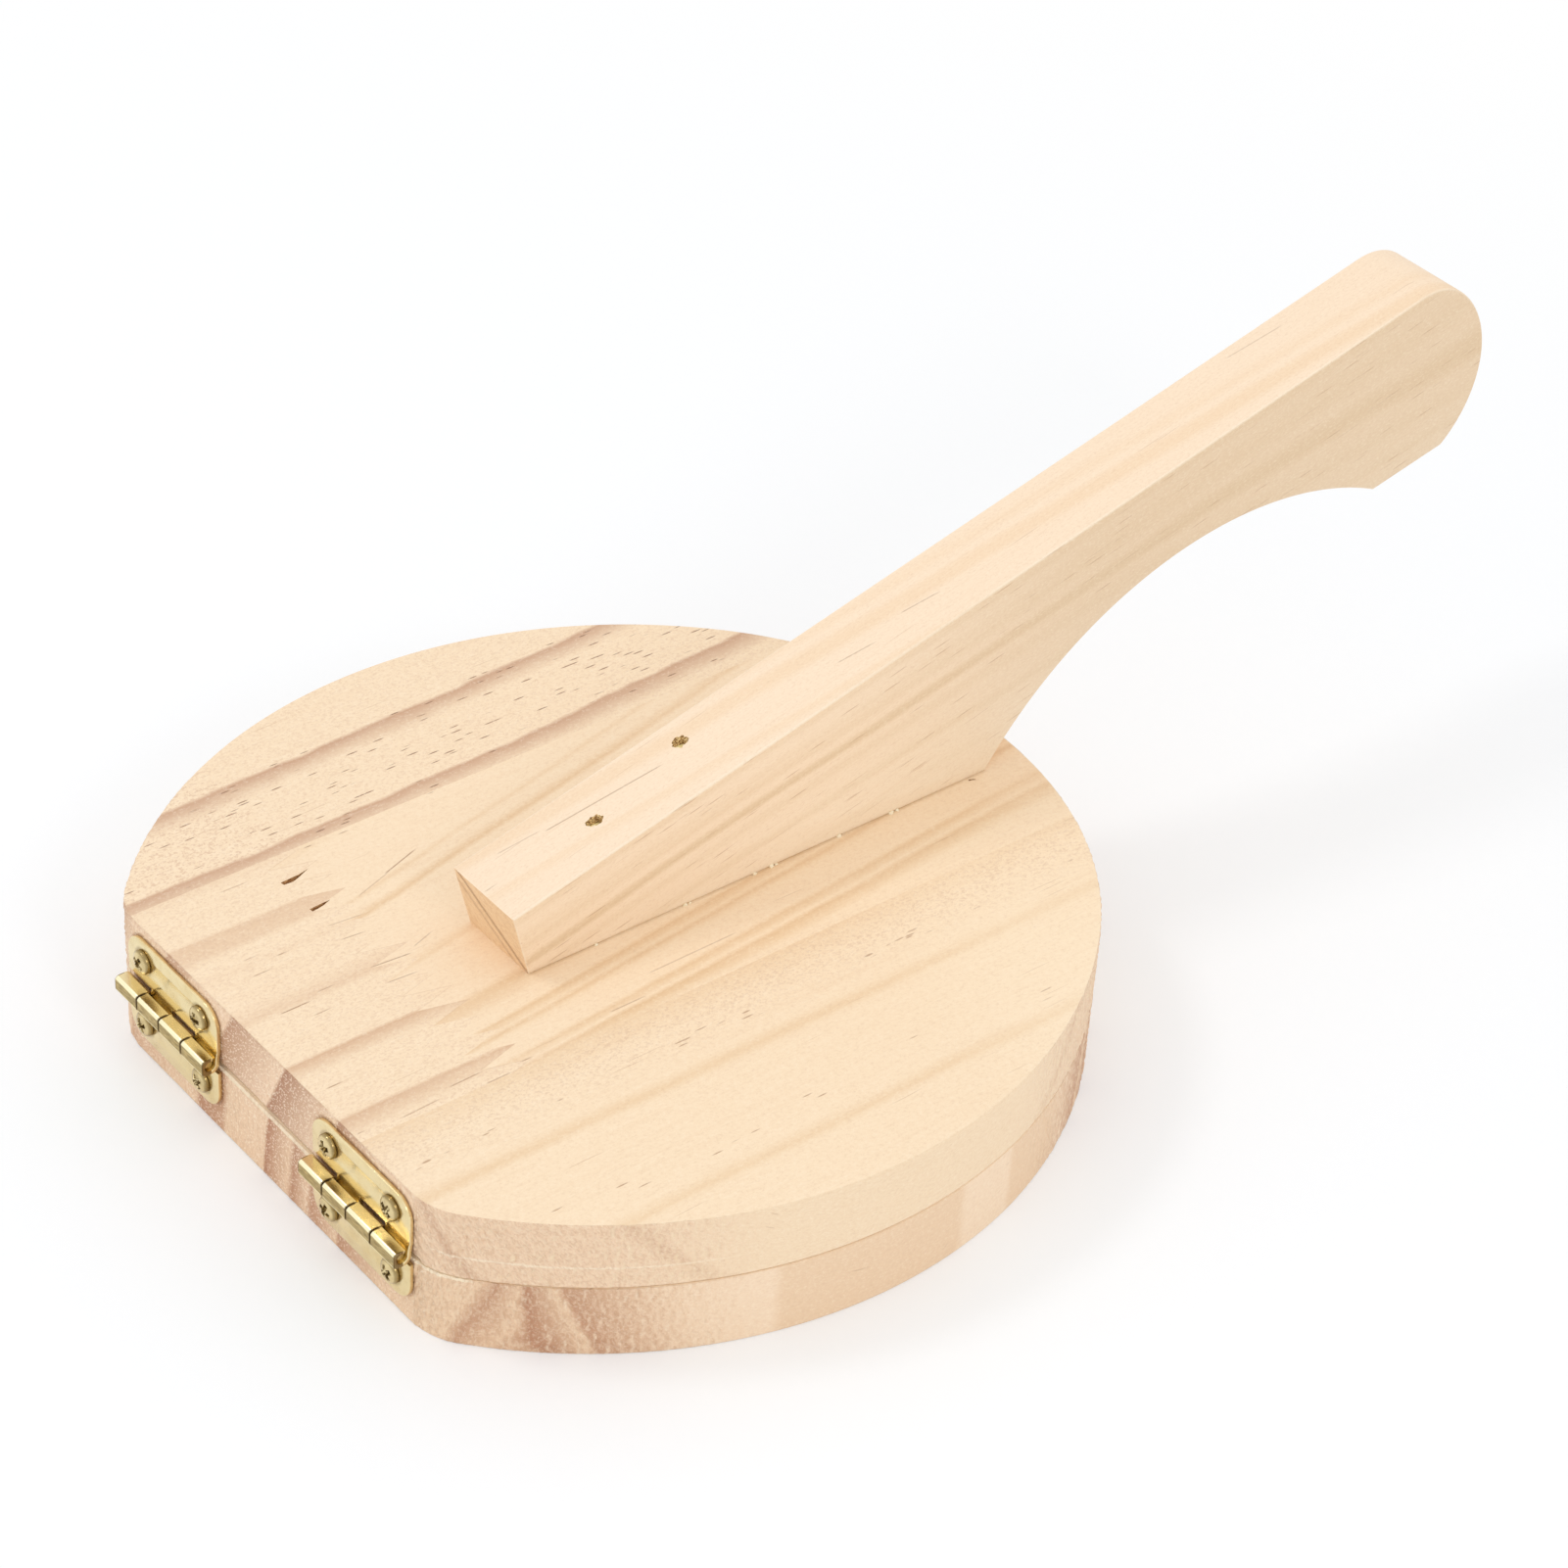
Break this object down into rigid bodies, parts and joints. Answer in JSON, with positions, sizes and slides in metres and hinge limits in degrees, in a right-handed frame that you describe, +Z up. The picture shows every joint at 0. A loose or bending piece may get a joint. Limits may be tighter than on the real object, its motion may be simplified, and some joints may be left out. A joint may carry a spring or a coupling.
{
  "type": "tortilla press",
  "caption": "Hinged wooden press: two round boards joined by butt hinges, with a raised lever handle on the lid, for flattening balls of dough into thin rounds.",
  "frame": {"origin": "middle of the bottom board's round, on its resting face", "axes": "+Z up, +Y from the hinge edge towards the handle's tip, +X along the hinge pins to the right seen from the hinge side"},
  "size_m": [0.17, 0.2842, 0.1],
  "materials": {
    "board_wood": "bare sanded pine",
    "handle_wood": "bare sanded pine",
    "nail_wire": "coated flat wire",
    "hinge_brass": "bright brass-plated sheet",
    "screw_brass": "bright brass-plated"
  },
  "bodies": {
    "base": {"bottom_board": "board_wood", "left_lower_leaf": "hinge_brass", "left_hinge_pin": "hinge_brass", "left_lower_screw_outer": "screw_brass", "left_lower_screw_inner": "screw_brass", "right_lower_leaf": "hinge_brass", "right_hinge_pin": "hinge_brass", "right_lower_screw_outer": "screw_brass", "right_lower_screw_inner": "screw_brass"},
    "lid": {"lid_board": "board_wood", "handle": "handle_wood", "handle_nail_rear": "nail_wire", "handle_nail_front": "nail_wire", "left_upper_leaf": "hinge_brass", "left_upper_screw_outer": "screw_brass", "left_upper_screw_inner": "screw_brass", "right_upper_leaf": "hinge_brass", "right_upper_screw_outer": "screw_brass", "right_upper_screw_inner": "screw_brass"}
  },
  "joints": [
    {"name": "lid_hinge", "type": "hinge", "parent": "base", "child": "lid", "pos_m": [0, -0.07718, 0.0165], "axis": [1, 0, 0], "range_deg": [0, 160]}
  ]
}
